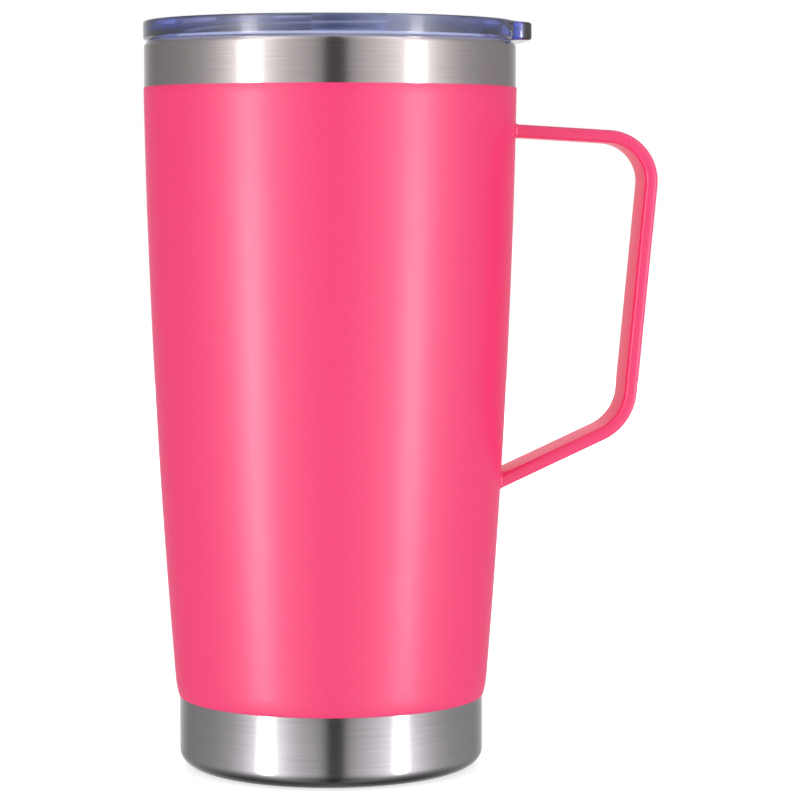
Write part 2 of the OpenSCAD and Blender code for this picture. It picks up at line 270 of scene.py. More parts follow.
def slab(name, outline, low, high, edge=0.0, axis="Z"):
    """A flat plate from a closed plan, between two heights, with its edges rounded. Axis Y stands it up."""
    bm = bmesh.new()
    if axis == "Z":
        loops = [[bm.verts.new((x, y, h)) for x, y in outline] for h in (low, high)]
    else:
        loops = [[bm.verts.new((x, h, z)) for x, z in outline] for h in (low, high)]
    count = len(outline)
    caps = [bm.faces.new(loop) for loop in loops]
    for i in range(count):
        j = (i + 1) % count
        bm.faces.new((loops[0][i], loops[0][j], loops[1][j], loops[1][i]))
    if edge > 0:
        rims = {e for cap in caps for e in cap.edges}
        bmesh.ops.bevel(bm, geom=list(rims), offset=edge, segments=3, profile=0.5, affect="EDGES")
    return finished(name, bm)


def combined(base, tool, operation):
    """Joins a tool to a solid, or cuts it out of it, and removes the tool."""
    modifier = base.modifiers.new("combine", "BOOLEAN")
    modifier.operation = operation
    modifier.solver = "EXACT"
    modifier.object = tool
    bpy.context.view_layer.update()
    graph = bpy.context.evaluated_depsgraph_get()
    mesh = bpy.data.meshes.new_from_object(base.evaluated_get(graph))
    base.modifiers.remove(modifier)
    base.data = mesh
    bpy.data.objects.remove(tool)
    mesh.shade_smooth()
    mesh.set_sharp_from_angle(angle=SMOOTH_ANGLE)
    return base


# ---- Materials ----

class Graph:
    """A node tree, with one short call that adds a node and sets or links its inputs."""

    def __init__(self, owner):
        owner.use_nodes = True
        self.tree = owner.node_tree
        self.tree.nodes.clear()

    def add(self, kind, inputs=None, **settings):
        node = self.tree.nodes.new(kind)
        for key, value in settings.items():
            setattr(node, key, value)
        for key, value in (inputs or {}).items():
            if isinstance(value, bpy.types.NodeSocket):
                self.tree.links.new(value, node.inputs[key])
            else:
                node.inputs[key].default_value = value
        return node

    def noise(self, scale, detail=3.0, roughness=0.55, stretch=(1, 1, 1), seed=(0, 0, 0)):
        """Noise in object space, with about this many lumps per metre along each axis."""
        place = self.add("ShaderNodeTexCoord").outputs["Object"]
        placed = self.add("ShaderNodeMapping", {"Vector": place, "Scale": stretch, "Location": seed})
        return self.add("ShaderNodeTexNoise", {
            "Vector": placed.outputs[0], "Scale": scale, "Detail": detail, "Roughness": roughness,
        }).outputs["Fac"]

    def span(self, value, low, high, source=(0.3, 0.7)):
        """Maps a value from one range to another."""
        return self.add("ShaderNodeMapRange", {
            "Value": value, "From Min": source[0], "From Max": source[1], "To Min": low, "To Max": high,
        }).outputs["Result"]

    def blend(self, share, first, second):
        """A colour between two colours."""
        node = self.add("ShaderNodeMix", data_type="RGBA")
        pairs = ((node.inputs[0], share), (node.inputs[6], first), (node.inputs[7], second))
        for socket, value in pairs:
            if isinstance(value, bpy.types.NodeSocket):
                self.tree.links.new(value, socket)
            else:
                socket.default_value = value
        return node.outputs[2]

    def ramp(self, value, stops):
        """A grey ramp through (place, brightness) stops."""
        node = self.add("ShaderNodeValToRGB", {0: value})
        node.color_ramp.interpolation = "LINEAR"
        while len(node.color_ramp.elements) < len(stops):
            node.color_ramp.elements.new(0.5)
        for element, (place, light) in zip(node.color_ramp.elements, stops):
            element.position = place
            element.color = (light, light, light, 1)
        return node.outputs[0]

    def bump(self, height, distance, strength=1.0, normal=None):
        """A bump of a height in metres."""
        inputs = {"Height": height, "Distance": distance, "Strength": strength}
        if normal is not None:
            inputs["Normal"] = normal
        return self.add("ShaderNodeBump", inputs).outputs["Normal"]

    def surface(self, **sockets):
        """The finished surface, a Principled shader with these sockets."""
        named = {key.replace("_", " "): value for key, value in sockets.items()}
        shader = self.add("ShaderNodeBsdfPrincipled", named)
        return self.add("ShaderNodeOutputMaterial", {"Surface": shader.outputs[0]})


def brushed_steel(name, tone, roughness=0.22, grain=1.0):
    """Stainless steel brushed round its axis: fine long streaks, a few deeper lines, slight stains."""
    material = bpy.data.materials.new(name)
    g = Graph(material)
    streaks = g.noise(1, 4, 0.6, stretch=(55, 55, 4200))
    lines = g.noise(1, 2, 0.5, stretch=(22, 22, 1500), seed=(3, 1, 7))
    stains = g.noise(60, 3, 0.5, seed=(5, 2, 0))
    light = tuple(min(1, c * 1.05) for c in tone[:3]) + (1,)
    dark = tuple(c * 0.93 for c in tone[:3]) + (1,)
    colour = g.blend(g.span(streaks, 0, 1), dark, light)
    colour = g.blend(g.span(stains, 0, 0.35), colour, dark)
    rough = g.span(lines, roughness - 0.03, roughness + 0.04)
    normal = g.bump(streaks, 0.004 * MM * grain)
    normal = g.bump(lines, 0.006 * MM * grain, normal=normal)
    g.surface(Base_Color=colour, Metallic=1.0, Roughness=rough, Normal=normal, Anisotropic=0.9,
              Anisotropic_Rotation=0.25)
    return material


def powder_coat():
    """Satin powder coat: a fine pebbled skin with slight mottling, and a soft, dusty gloss."""
    material = bpy.data.materials.new("powder_coat")
    g = Graph(material)
    pebbles = g.noise(2000, 2, 0.5)
    peel = g.noise(700, 2, 0.5, seed=(4, 4, 1))
    clouds = g.noise(45, 3, 0.5, seed=(1, 6, 2))
    colour = g.blend(g.span(pebbles, 0, 1), (0.93, 0.001, 0.144, 1), (1.0, 0.002, 0.162, 1))
    colour = g.blend(g.span(clouds, 0, 0.4), colour, (0.97, 0.001, 0.152, 1))
    rough = g.span(peel, 0.387, 0.413)
    normal = g.bump(pebbles, 0.014 * MM)
    normal = g.bump(peel, 0.007 * MM, normal=normal)
    g.surface(Base_Color=colour, Roughness=rough, Normal=normal, IOR=2.05, Sheen_Weight=0.16,
              Sheen_Roughness=0.22, Sheen_Tint=(1, 0.9, 0.93, 1))
    return material


def clear_plastic():
    """Polished acrylic with a blue tint, deeper where there is more of it, and faint moulding ripple."""
    material = bpy.data.materials.new("clear_plastic")
    g = Graph(material)
    ripple = g.noise(140, 2, 0.5, seed=(2, 8, 3))
    handling = g.noise(900, 4, 0.6, seed=(7, 1, 1))
    normal = g.bump(ripple, 0.006 * MM)
    output = g.surface(Base_Color=(1, 1, 1, 1), Roughness=g.span(handling, 0.05, 0.10), IOR=1.49,
                       Normal=normal, Transmission_Weight=1.0, Coat_Weight=1.0, Coat_Roughness=0.25,
                       Coat_IOR=1.9)
    volume = g.add("ShaderNodeVolumeAbsorption", {"Color": (0.03, 0.17, 0.78, 1), "Density": 130.0})
    g.tree.links.new(volume.outputs[0], output.inputs["Volume"])
    return material


def silicone():
    """Translucent silicone rubber: milky, soft and very slightly rough."""
    material = bpy.data.materials.new("silicone")
    g = Graph(material)
    skin = g.noise(1800, 3, 0.6)
    dust = g.noise(260, 3, 0.6, seed=(3, 3, 3))
    colour = g.blend(g.span(dust, 0, 1), (0.80, 0.82, 0.88, 1), (0.88, 0.89, 0.93, 1))
    g.surface(Base_Color=colour, Roughness=g.span(skin, 0.38, 0.5), Normal=g.bump(skin, 0.006 * MM),
              IOR=1.41, Subsurface_Weight=0.4, Subsurface_Scale=2 * MM, Subsurface_Radius=(1, 1, 1))
    return material


def copper_foil():
    """Bright rolled copper with soft creases."""
    material = bpy.data.materials.new("copper")
    g = Graph(material)
    creases = g.noise(90, 4, 0.6)
    rolled = g.noise(1, 3, 0.6, stretch=(3000, 3000, 60))
    colour = g.blend(g.span(creases, 0, 1), (0.78, 0.36, 0.22, 1), (0.90, 0.50, 0.34, 1))
    normal = g.bump(rolled, 0.003 * MM, normal=g.bump(creases, 0.1 * MM))
    g.surface(Base_Color=colour, Metallic=1.0, Roughness=g.span(rolled, 0.2, 0.32), Normal=normal)
    return material


def sintered_getter():
    """A pressed metal-powder pellet: dark, grainy and matt."""
    material = bpy.data.materials.new("getter")
    g = Graph(material)
    grains = g.noise(5000, 3, 0.6)
    colour = g.blend(g.span(grains, 0, 1), (0.03, 0.03, 0.033, 1), (0.11, 0.11, 0.115, 1))
    g.surface(Base_Color=colour, Metallic=0.6, Roughness=g.span(grains, 0.6, 0.8),
              Normal=g.bump(grains, 0.03 * MM))
    return material


def sealing_glass():
    """A melted glass bead, grey-green, with small bubbles that dull it."""
    material = bpy.data.materials.new("seal_glass")
    g = Graph(material)
    bubbles = g.noise(2500, 2, 0.5)
    colour = g.blend(g.span(bubbles, 0, 1), (0.22, 0.25, 0.22, 1), (0.38, 0.42, 0.38, 1))
    g.surface(Base_Color=colour, Roughness=g.span(bubbles, 0.08, 0.18), Normal=g.bump(bubbles, 0.01 * MM),
              IOR=1.52)
    return material


# ---- Pieces ----

def placed(obj, material, body, slot, *nodes):
    """Gives a piece its material, its body and the CAD nodes that it stands for; the slot is not used."""
    obj.data.materials.clear()
    obj.data.materials.append(material)
    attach(obj, body)
    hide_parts(*nodes)
    return obj


def steel_shell(steel):
    """The outer sheet, from the foot's seam up over the rolled lip to the weld."""
    edge = LIP_EDGE_R
    inside = edge - SHELL_T
    outline = (
        run(wall_radius, SEAM_Z, SHOULDER_Z, steps=8)
        + run(wall_radius, SHOULDER_Z + 0.5 * MM, BAND_Z)
        + arc(MOUTH_R - edge, LIP_EDGE_Z, edge, 0, 90, 12)
        + [(LIP_WELD_R + 0.12 * MM, LIP_Z), (LIP_WELD_R + 0.01 * MM, LIP_Z - 0.1 * MM),
           (LIP_WELD_R + 0.01 * MM, LIP_Z - SHELL_T)]
        + arc(MOUTH_R - edge, LIP_EDGE_Z, inside, 90, 0, 12)
        + run(wall_radius, BAND_Z, SHOULDER_Z + 0.5 * MM, -SHELL_T)
        + run(wall_radius, SHOULDER_Z, SEAM_Z, -SHELL_T, steps=8)
    )
    return placed(turned("steel_shell", outline), steel, "cup", "brushed_steel", "outer_shell")


def steel_liner(steel):
    """The inner sheet, from its bottom seam up over the rolled lip to the weld."""
    edge = LIP_EDGE_R
    inside = edge - LINER_T
    outline = (
        run(liner_radius, BAND_Z, LINER_SEAM_Z)
        + run(liner_radius, LINER_SEAM_Z, BAND_Z, LINER_T)
        + arc(BORE_R + edge, LIP_EDGE_Z, inside, 180, 90, 12)
        + [(LIP_WELD_R - 0.01 * MM, LIP_Z - LINER_T), (LIP_WELD_R - 0.01 * MM, LIP_Z - 0.1 * MM),
           (LIP_WELD_R - 0.12 * MM, LIP_Z)]
        + arc(BORE_R + edge, LIP_EDGE_Z, edge, 90, 180, 12)
    )
    return placed(turned("steel_liner", outline), steel, "cup", "inner_steel", "inner_liner")


def liner_floor(steel):
    """The drawn bottom of the drinking space, with a bead of weld where it meets the wall."""
    floor = FLOOR_Z + LINER_T
    edge_r = liner_radius(floor) - FLOOR_EDGE_R
    edge_z = floor + FLOOR_EDGE_R
    seam_r = liner_radius(LINER_SEAM_Z)
    bead = 0.12 * MM
    outline = (
        [(0, floor), (edge_r / 2, floor)]
        + arc(edge_r, edge_z, FLOOR_EDGE_R, -90, 0, 20)
        + [(liner_radius(LINER_SEAM_Z - 4 * bead), LINER_SEAM_Z - 4 * bead),
           (seam_r - bead, LINER_SEAM_Z - bead), (seam_r - bead, LINER_SEAM_Z + bead),
           (seam_r, LINER_SEAM_Z + 4 * bead), (seam_r + LINER_T, LINER_SEAM_Z)]
        + arc(edge_r, edge_z, FLOOR_EDGE_R + LINER_T, 0, -90, 20)
        + [(0, FLOOR_Z)]
    )
    return placed(turned("liner_floor", outline), steel, "cup", "inner_steel", "liner_bottom")


def foot_cup(steel):
    """The bare steel foot: side, rounded edge, foot ring, recess and the dimple round the port."""
    inner_r = FOOT_R - FOOT_EDGE_W - FOOT_RING_W
    recess_r = inner_r - RECESS_SLOPE_W
    dimple_z = RECESS_RISE + DIMPLE_RISE
    half = SHELL_T / 2
    outline = (
        run(wall_radius, SEAM_Z, FOOT_H, steps=4)
        + foot_edge()
        + [(inner_r, 0), (recess_r + half, RECESS_RISE - half), (recess_r - half, RECESS_RISE),
           (DIMPLE_R + DIMPLE_RISE, RECESS_RISE), (DIMPLE_R, dimple_z), (PORT_R, dimple_z),
           (PORT_R, dimple_z + SHELL_T), (DIMPLE_R + half, dimple_z + SHELL_T),
           (DIMPLE_R + DIMPLE_RISE + half, RECESS_RISE + SHELL_T),
           (recess_r + half, RECESS_RISE + SHELL_T), (inner_r + SHELL_T, SHELL_T)]
        + foot_edge(SHELL_T)[::-1]
        + run(wall_radius, FOOT_H, SEAM_Z, -SHELL_T, steps=4)
    )
    return placed(turned("foot_cup", outline), steel, "cup", "brushed_steel", "base_cup")


def port_bead(glass):
    """The melted glass bead in the foot's evacuation port."""
    low_z = PORT_TOP_Z - SHELL_T - BEAD_H
    dome = arc(0, low_z + BEAD_H, 1, -90, 0, 10)
    outline = ([(r * BEAD_R, low_z + BEAD_H + (z - low_z - BEAD_H) * BEAD_H) for r, z in dome]
               + [(PORT_R, low_z + BEAD_H), (PORT_R, PORT_TOP_Z), (0, PORT_TOP_Z)])
    return placed(turned("port_bead", outline, 48), glass, "cup", "seal_glass", "port_seal")


def wall_coat(coat):
    """The coat on the wall, with its thin edges slightly rounded at both bare bands."""
    edge = COAT_T * 0.6
    outline = (
        run(wall_radius, FOOT_H + edge, SHOULDER_Z, COAT_T, steps=8)
        + run(wall_radius, SHOULDER_Z + 0.5 * MM, BAND_Z - edge, COAT_T)
        + [(MOUTH_R + COAT_T - 0.3 * edge, BAND_Z - 0.3 * edge), (MOUTH_R + COAT_T - edge, BAND_Z),
           (MOUTH_R, BAND_Z)]
        + run(wall_radius, BAND_Z - edge, SHOULDER_Z + 0.5 * MM)
        + run(wall_radius, SHOULDER_Z, FOOT_H, steps=8)
        + [(FOOT_R + COAT_T - edge, FOOT_H), (FOOT_R + COAT_T - 0.3 * edge, FOOT_H + 0.3 * edge)]
    )
    return placed(turned("wall_coat", outline), coat, "cup", "powder_coat", "powder_coat")


# ---- Handle ----

def inwards(direction):
    """The direction inwards from the strap's outer face, for one that runs this way in X and Z."""
    return Vector((direction.y, -direction.x))


def bend_centre(corner, first, second, radius):
    """Centre of a bend whose outer face is rounded at a corner between two straight runs."""
    a, b = inwards(first), inwards(second)
    return corner + (a + b) * (radius / (1 + a.dot(b)))


ARM = Vector((math.cos(ARM_SLOPE), -math.sin(ARM_SLOPE)))
GRIP = Vector((-math.sin(GRIP_LEAN), -math.cos(GRIP_LEAN)))
HEEL = Vector((-math.cos(HEEL_SLOPE), -math.sin(HEEL_SLOPE)))
UPPER_CORNER = Vector((HANDLE_OUT, HANDLE_TOP_Z))
LOWER_CORNER = UPPER_CORNER + GRIP * ((HANDLE_TOP_Z - HANDLE_BOTTOM_Z) / math.cos(GRIP_LEAN))
UPPER_CENTRE = bend_centre(UPPER_CORNER, ARM, GRIP, UPPER_BEND_R)
LOWER_CENTRE = bend_centre(LOWER_CORNER, GRIP, HEEL, LOWER_BEND_R)
ARM_END = UPPER_CENTRE - inwards(ARM) * UPPER_BEND_R
HEEL_START = LOWER_CENTRE - inwards(HEEL) * LOWER_BEND_R


def strap_section(grow=0.0, steps=6):
    """The strap's section as (depth from the outer face, width) points with their outward normals."""
    depth, width = STRAP_T - STRAP_EDGE_R, HALF_STRAP_W - STRAP_EDGE_R
    centres = ((STRAP_EDGE_R, -width, 180), (depth, -width, 270), (depth, width, 0),
               (STRAP_EDGE_R, width, 90))
    points = []
    for x, y, start in centres:
        for k in range(steps + 1):
            a = math.radians(start + 90 * k / steps)
            normal = Vector((math.cos(a), math.sin(a)))
            points.append((Vector((x, y)) + normal * (STRAP_EDGE_R + grow), normal))
    return points


def strap_point(face, inward, depth, width):
    """A point of the strap, from a point on its outer face and the direction inwards from there."""
    at = face + inward * depth
    return Vector((at.x, width, at.y))


def onto_wall(point, direction, out=0.0):
    """Slides a point along a direction in X and Z until it is on the steel wall, or this far out from it."""
    along = Vector((direction.x, 0, direction.y))
    p = point.copy()
    for _ in range(12):
        gap = math.hypot(p.x, p.y) - wall_radius(p.z) - out
        p += along * (gap * (1 if direction.x < 0 else -1))
    return p


def strap_loop(face, inward):
    """One section of the strap."""
    return [strap_point(face, inward, p.x, p.y) for p, _ in strap_section()]


def strap(coat):
    """The whole strap, swept round its two bends, with both ends shaped to the wall."""
    loops = [[onto_wall(p, -ARM) for p in strap_loop(ARM_END, inwards(ARM))]]
    bends = ((UPPER_CENTRE, UPPER_BEND_R, math.pi / 2 - ARM_SLOPE, -GRIP_LEAN, 28),
             (LOWER_CENTRE, LOWER_BEND_R, -GRIP_LEAN, HEEL_SLOPE - math.pi / 2, 20))
    for centre, radius, start, end, steps in bends:
        for k in range(steps + 1):
            a = start + (end - start) * k / steps
            out = Vector((math.cos(a), math.sin(a)))
            loops.append(strap_loop(centre + out * radius, -out))
    loops.append([onto_wall(p, HEEL) for p in strap_loop(HEEL_START, inwards(HEEL))])
    return placed(skinned("handle_strap", loops, ring=False), coat, "cup", "coated_steel", "handle")


def weld_fillet(name, face, direction, coat, node):
    """A hollow fillet of coated weld round one end of the strap. The direction runs towards the wall."""
    inward = inwards(direction if direction == HEEL else -direction)
    steps = 8
    loops = []
    for point, normal in strap_section():
        on_strap = strap_point(face, inward, point.x, point.y)
        sideways = strap_point(Vector((0, 0)), inward, normal.x, normal.y)
        loop = []
        for k in range(steps + 1):
            a = math.pi / 2 * k / steps
            side = WELD_W * (1 - math.sin(a))
            away = WELD_W * (1 - math.cos(a))
            foot = onto_wall(on_strap + sideways * side, direction, COAT_T)
            loop.append(foot - Vector((direction.x, 0, direction.y)) * away)
        buried = onto_wall(on_strap - sideways * 0.2 * MM, direction)
        loops.append(loop + [buried, onto_wall(on_strap + sideways * WELD_W, direction)])
    return placed(skinned(name, loops, ring=True), coat, "cup", "coated_steel", node)


# ---- Lid ----

def lid_plan(steps=ROUND_STEPS, corner_steps=16, face_steps=12):
    """The lid's plan, anticlockwise, as (point, outward normal, whether it is on the tab)."""
    centre_x = TAB_OUT - TAB_CORNER_R
    centre_y = TAB_HALF_W - TAB_CORNER_R
    reach = (LID_R**2 - centre_x**2 - centre_y**2 - TAB_CORNER_R**2) / (2 * TAB_CORNER_R)
    meet = math.atan2(centre_y, centre_x) + math.acos(reach / math.hypot(centre_x, centre_y))

    def corner(a, side):
        normal = Vector((math.cos(a), side * math.sin(a)))
        return Vector((centre_x, side * centre_y)) + normal * TAB_CORNER_R, normal, True

    up = [corner(meet * k / corner_steps, 1) for k in range(corner_steps + 1)]
    down = [corner(meet * k / corner_steps, -1) for k in range(corner_steps, -1, -1)]
    ys = [-centre_y + 2 * centre_y * k / face_steps for k in range(1, face_steps)]
    face = [(Vector((TAB_OUT, y)), Vector((1, 0)), True) for y in ys]
    joint = up[-1][0]
    start = math.atan2(joint.y, joint.x)
    rim = []
    for k in range(steps + 1):
        a = start + (2 * math.pi - 2 * start) * k / steps
        normal = Vector((math.cos(a), math.sin(a)))
        rim.append((normal * LID_R, normal, False))
    return down + face + up + rim


def lid_loop(point, normal, on_tab):
    """The lid's outline through one point of its plan."""
    outwards = point.normalized()
    flange_low = [(SKIRT_R, FLANGE_Z), (SKIRT_R, GROOVE_HIGH_Z), (GROOVE_R, GROOVE_HIGH_Z),
                  (GROOVE_R, GROOVE_LOW_Z), (SKIRT_R, GROOVE_LOW_Z), (SKIRT_R, SKIRT_Z + 0.8 * MM)]
    skirt = arc(SKIRT_R - 0.6 * MM, SKIRT_Z + 0.6 * MM, 0.6 * MM, 0, -90, 4) + [(UNDER_RIM_R, SKIRT_Z)]
    under = [(UNDER_DECK_R, DECK_Z - DECK_T), (0, DECK_Z - DECK_T)]
    inner = ([(0, DECK_Z)] + arc(RECESS_R - 0.9 * MM, DECK_Z + 0.9 * MM, 0.9 * MM, -90, -12, 6)
             + arc(RECESS_RIM_R + RIM_EDGE_R, TOTAL_H - RIM_EDGE_R, RIM_EDGE_R, 165, 90, 6)
             + arc(LID_R - LID_EDGE_R, TOTAL_H - LID_EDGE_R, LID_EDGE_R, 90, 49, 4))

    # The outer edge as (distance in from the plan, height), from the top down
    if on_tab:
        top = FLANGE_Z + TAB_T
        edge = ([(TAB_EDGE_R - x, z) for x, z in arc(0, top - TAB_EDGE_R, TAB_EDGE_R, 90, 0, 6)]
                + [(TAB_EDGE_R - x, z) for x, z in arc(0, FLANGE_Z + TAB_EDGE_R, TAB_EDGE_R, 0, -90, 4)])
    else:
        edge = ([(LID_EDGE_R - x, z) for x, z in arc(0, TOTAL_H - LID_EDGE_R, LID_EDGE_R, 42, 0, 6)]
                + [(FLANGE_CHAMFER_W * k / 4, FLANGE_Z + FLANGE_CHAMFER_H * (1 - k / 4)) for k in range(5)])
    rim = [point - normal * d for d, _ in edge]
    return ([(outwards.x * r, outwards.y * r, z) for r, z in inner]
            + [(p.x, p.y, z) for p, (_, z) in zip(rim, edge)]
            + [(outwards.x * r, outwards.y * r, z) for r, z in flange_low + skirt + under])


def slider_rail(side):
    """One guide rail: a wall beside the slider, with a lip over the slider's edge."""
    wall_in = SLIDER_HALF_W + SLIDER_PLAY
    lip_in = BLOCK_HALF_W + SLIDER_PLAY
    lip_low = SLIDER_Z + SLIDER_PLATE_T + SLIDER_PLAY
    top = lip_low + RAIL_LIP_T
    soft = 0.3 * MM
    section = rounded([(wall_in, DECK_Z - 0.3 * MM, 0), (wall_in + RAIL_T, DECK_Z - 0.3 * MM, 0),
                       (wall_in + RAIL_T, top, soft), (lip_in, top, soft), (lip_in, lip_low, soft),
                       (wall_in, lip_low, 0)], 3)
    loops = [[(x, side * y, z) for y, z in section] for x in (RAIL_FRONT_X, RAIL_BACK_X + STOP_T)]
    return skinned("rail", loops, ring=False)


def stadium(x, half_l, half_w, steps=12):
    """A slot's plan with round ends, long in Y."""
    ends = ((half_l - half_w, 0), (-(half_l - half_w), 180))
    points = []
    for y, start in ends:
        for k in range(steps + 1):
            a = math.radians(start + 180 * k / steps)
            points.append((x + half_w * math.cos(a), y + half_w * math.sin(a)))
    return points


def circle(x, radius, steps=32):
    """A circle's plan, centred on the X axis."""
    angles = [2 * math.pi * k / steps for k in range(steps)]
    return [(x + radius * math.cos(a), radius * math.sin(a)) for a in angles]


def clear_lid(plastic):
    """The moulded lid in one solid: recess, rim, thumb tab, skirt, groove, rails, slot and vent."""
    lid = skinned("clear_lid", [lid_loop(*place) for place in lid_plan()], ring=True)
    stop_half_w = SLIDER_HALF_W + SLIDER_PLAY + 0.5 * MM
    stop_plan = [(RAIL_BACK_X, -stop_half_w), (RAIL_BACK_X + STOP_T, -stop_half_w),
                 (RAIL_BACK_X + STOP_T, stop_half_w), (RAIL_BACK_X, stop_half_w)]
    combined(lid, slider_rail(1), "UNION")
    combined(lid, slider_rail(-1), "UNION")
    combined(lid, slab("stop", stop_plan, DECK_Z - 0.3 * MM, DECK_Z + SLIDER_PLATE_T), "UNION")
    low, high = DECK_Z - 2 * DECK_T, DECK_Z + DECK_T
    combined(lid, slab("slot", stadium(SLOT_X, SLOT_L / 2, SLOT_W / 2), low, high), "DIFFERENCE")
    combined(lid, slab("vent", circle(VENT_X, VENT_R), low, high), "DIFFERENCE")
    return placed(lid, plastic, "lid", "clear_plastic", "lid_body")


def lid_ring(rubber):
    """The silicone ring in the lid's groove, with two soft fins."""
    low, high = GASKET_Z
    root_r = GROOVE_R + 0.9 * MM
    fin_t = 0.45 * MM

    def fin(z):
        return [(root_r, z, 0.15 * MM), (GASKET_R, z + fin_t / 2, 0.18 * MM),
                (GASKET_R, z + fin_t, 0.18 * MM), (root_r, z + 1.5 * fin_t, 0.15 * MM)]

    outline = rounded([(GROOVE_R, low, 0.1 * MM), (root_r, low, 0.15 * MM), *fin(low + fin_t),
                       *fin(high - 2.5 * fin_t), (root_r, high, 0.15 * MM), (GROOVE_R, high, 0.1 * MM)], 4)
    return placed(turned("lid_ring", outline), rubber, "lid", "silicone", "lid_gasket")


def slider_plan(half_w, steps=24):
    """The slider's plan: straight sides, a square back, and a nose that follows the recess."""
    reach = math.asin(half_w / SLIDER_NOSE_R)
    nose = [math.pi - reach + 2 * reach * k / steps for k in range(steps + 1)]
    return [(SLIDER_NOSE_R * math.cos(a), SLIDER_NOSE_R * math.sin(a)) for a in nose] + [
        (SLIDER_BACK_X, -half_w), (SLIDER_BACK_X, half_w)]


def sliding_closure(plastic):
    """The slider in one solid: lower plate, narrower block, and a scooped finger grip."""
    block_z = SLIDER_Z + SLIDER_PLATE_T
    grip_z = block_z + SLIDER_BLOCK_T
    grip_half_w = BLOCK_HALF_W - GRIP_INSET
    top_half_l = GRIP_HALF_L - GRIP_SIDE_SLOPE
    grip_top = grip_z + GRIP_H
    scoop_z = grip_top + GRIP_SCOOP_R - GRIP_SCOOP_DEPTH
    half_angle = math.degrees(math.acos((scoop_z - grip_top) / GRIP_SCOOP_R))
    scoop = arc(GRIP_X, scoop_z, GRIP_SCOOP_R, -90 + half_angle, -90 - half_angle, 16)
    side = ([(GRIP_X - GRIP_HALF_L, grip_z - 0.4 * MM), (GRIP_X + GRIP_HALF_L, grip_z - 0.4 * MM),
             (GRIP_X + top_half_l, grip_top)] + scoop + [(GRIP_X - top_half_l, grip_top)])
    solid = slab("sliding_closure", slider_plan(SLIDER_HALF_W), SLIDER_Z, block_z, 0.35 * MM)
    block = slab("block", slider_plan(BLOCK_HALF_W), block_z - 0.4 * MM, grip_z, 0.5 * MM)
    combined(solid, block, "UNION")
    combined(solid, slab("grip", side, -grip_half_w, grip_half_w, 0.5 * MM, axis="Y"), "UNION")
    return placed(solid, plastic, "slider", "clear_plastic", "slider")


# ---- Studio ----

VIEW_AZIMUTH = math.radians(-4.88)
VIEW_DROP = math.radians(4.15)
CAMERA_PLACE = (-0.04585, -0.72876, 0.1394)
LENS_MM = 139.7

# Brightness of the studio by the angle from straight in front, in degrees, on its left and right:
# a dark gap where the camera stands, dim sides and a brighter back
ROOM_LEFT = ((0, 0.09), (5, 0.06), (9, 0.34), (15, 0.53), (28, 0.72), (36, 0.98), (45, 1.48), (48, 1.66),
             (58, 1.66), (62, 1.52), (68, 1.14), (76, 0.77), (88, 0.48), (108, 0.33), (144, 0.25),
             (156, 0.36), (170, 0.6), (180, 0.6))
ROOM_RIGHT = ((0, 0.09), (4, 0.06), (9, 0.42), (16, 0.62), (28, 0.88), (36, 1.13), (43, 1.42), (47, 1.62),
              (56, 1.62), (60, 1.36), (66, 1.03), (76, 0.7), (88, 0.48), (104, 0.37), (140, 0.29),
              (156, 0.42), (170, 0.8), (180, 0.8))
# Brightness of the soft box on each side by the same angle, and its share of that by the sine of the height
BOX_LEFT = ((47.5, 0), (50, 25), (57.5, 25), (60, 0))
BOX_RIGHT = ((45, 0), (47.5, 24), (53, 24), (55.5, 0))
BOX_HEIGHTS = ((-0.37, 0), (-0.29, 0.2), (-0.22, 0.8), (-0.15, 1), (-0.1, 0.9), (-0.04, 0.5), (0.02, 0.25),
               (0.08, 0.12), (0.16, 0))


def camera():
    """A long lens, from a little below the lid and to the left."""
    data = bpy.data.cameras.new("camera")
    data.lens = LENS_MM
    data.sensor_width = 36
    obj = bpy.data.objects.new("camera", data)
    bpy.context.scene.collection.objects.link(obj)
    obj.location = CAMERA_PLACE
    forward = Vector((-math.sin(VIEW_AZIMUTH) * math.cos(VIEW_DROP),
                      math.cos(VIEW_AZIMUTH) * math.cos(VIEW_DROP), -math.sin(VIEW_DROP)))
    obj.rotation_euler = forward.to_track_quat("-Z", "Y").to_euler()
    bpy.context.scene.camera = obj


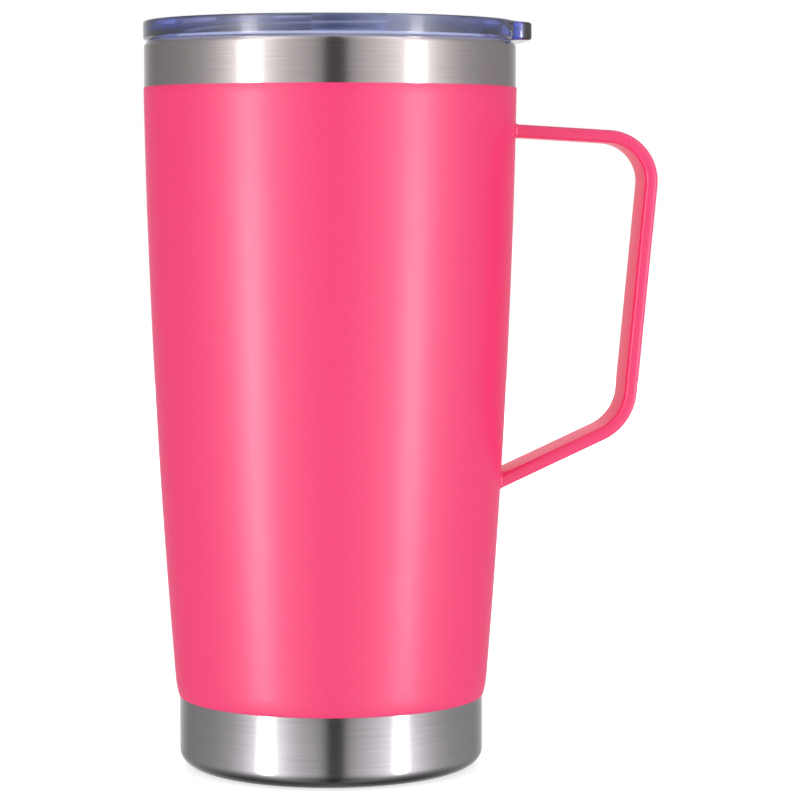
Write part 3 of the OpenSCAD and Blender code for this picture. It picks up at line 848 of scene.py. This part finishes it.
def studio_world():
    """Soft light all round, brightest from two tall soft boxes, in front of a white backdrop."""
    world = bpy.data.worlds.new("studio")
    bpy.context.scene.world = world
    g = Graph(world)
    place = g.add("ShaderNodeTexCoord").outputs["Generated"]
    flat = g.add("ShaderNodeVectorMath", {0: place, 1: (1, 1, 0)}, operation="MULTIPLY").outputs[0]
    round_it = g.add("ShaderNodeVectorMath", {0: flat}, operation="NORMALIZE").outputs[0]
    axes = g.add("ShaderNodeSeparateXYZ", {0: round_it}).outputs
    right = g.span(axes["X"], 0, 1, source=(-0.02, 0.02))
    front = g.add("ShaderNodeMath", {0: axes["Y"], 1: -1.0}, operation="MULTIPLY").outputs[0]
    angle = g.add("ShaderNodeMath", {0: front}, operation="ARCCOSINE").outputs[0]
    share = g.add("ShaderNodeMath", {0: angle, 1: math.pi}, operation="DIVIDE").outputs[0]

    def around(side):
        return g.ramp(share, [(degrees / 180, light) for degrees, light in side])

    room = g.blend(right, around(ROOM_LEFT), around(ROOM_RIGHT))
    boxes = g.blend(right, around(BOX_LEFT), around(BOX_RIGHT))
    up = g.add("ShaderNodeSeparateXYZ", {0: place}).outputs["Z"]
    height = g.span(up, 0, 1, source=(-1, 1))
    box_share = g.ramp(height, [(sine / 2 + 0.5, part) for sine, part in BOX_HEIGHTS])
    boxes = g.add("ShaderNodeVectorMath", {0: boxes, 1: box_share}, operation="MULTIPLY").outputs[0]
    under = g.span(up, 0.15, 1.0, source=(-0.8, -0.35))
    lit = g.add("ShaderNodeVectorMath", {0: room, 1: under, 2: boxes}, operation="MULTIPLY_ADD").outputs[0]

    # The backdrop is white to the camera, and through the clear lid
    path = g.add("ShaderNodeLightPath").outputs
    behind = g.span(axes["Y"], 0, 1, source=(0.3, 0.7))
    clear, direct = path["Is Transmission Ray"], path["Is Camera Ray"]
    through = g.add("ShaderNodeMath", {0: clear, 1: behind}, operation="MULTIPLY").outputs[0]
    seen = g.add("ShaderNodeMath", {0: direct, 1: through}, operation="MAXIMUM").outputs[0]
    colour = g.blend(seen, lit, (1, 1, 1, 1))
    sky = g.add("ShaderNodeBackground", {"Color": colour, "Strength": 1.0})
    g.add("ShaderNodeOutputWorld", {"Surface": sky.outputs[0]})


def area_light(name, azimuth, height, distance, width, tall, power, in_gloss):
    """A soft box facing the middle of the tumbler, at this many degrees round from the front."""
    data = bpy.data.lights.new(name, "AREA")
    data.shape = "RECTANGLE"
    data.size = width
    data.size_y = tall
    data.energy = power
    obj = bpy.data.objects.new(name, data)
    bpy.context.scene.collection.objects.link(obj)
    a = math.radians(azimuth)
    target = Vector((0, 0, TOTAL_H / 2))
    obj.location = Vector((math.sin(a) * distance, -math.cos(a) * distance, height))
    obj.rotation_euler = (target - obj.location).to_track_quat("-Z", "Y").to_euler()
    obj.visible_camera = False
    obj.visible_glossy = in_gloss
    obj.visible_transmission = False


def pale_floor():
    """A pale floor with a faint, uneven tone."""
    bm = bmesh.new()
    bmesh.ops.create_circle(bm, cap_ends=True, segments=96, radius=7.0)
    floor = finished("floor", bm)
    floor.location.z = -0.02 * MM
    material = bpy.data.materials.new("floor")
    g = Graph(material)
    tone = g.span(g.noise(8, 3, 0.5), 0, 1)
    colour = g.blend(tone, (0.83, 0.83, 0.83, 1), (0.87, 0.87, 0.87, 1))
    g.surface(Base_Color=colour, Roughness=0.8, Emission_Color=(1, 1, 1, 1), Emission_Strength=0.6)
    floor.data.materials.append(material)
    floor.visible_glossy = False


# ---- Scene ----

camera()
studio_world()
area_light("back_fill", 175, 0.5, 1.2, 0.9, 1.2, 9, in_gloss=False)
pale_floor()

# One steel in two copies. The band's tone carries a painted pink cast. The foot's carries a painted violet
# cast and is made brighter. Both stand in for the reflected colour and light that the steel shows at each
# height.
band_steel_painted_cast = brushed_steel("steel_band_painted_cast", (0.64, 0.575, 0.575, 1))
foot_steel_painted_light = brushed_steel("steel_foot_painted_light", (0.655, 0.625, 0.66, 1))
inner_steel = brushed_steel("steel_liner", (0.65, 0.64, 0.63, 1), roughness=0.3, grain=1.5)
coat = powder_coat()
plastic = clear_plastic()

steel_shell(band_steel_painted_cast)
foot_cup(foot_steel_painted_light)
steel_liner(inner_steel)
liner_floor(inner_steel)
wall_coat(coat)
strap(coat)
weld_fillet("upper_weld", ARM_END, -ARM, coat, "handle_welds")
weld_fillet("lower_weld", HEEL_START, HEEL, coat, "handle_welds")
clear_lid(plastic)
lid_ring(silicone())
sliding_closure(plastic)
port_bead(sealing_glass())

hidden = {"copper_foil": copper_foil(), "getter_clip": inner_steel, "getter_pellet": sintered_getter()}
for node, material in hidden.items():
    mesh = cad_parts[node].data
    mesh.materials.clear()
    mesh.materials.append(material)

bpy.context.scene.view_settings.view_transform = "Standard"
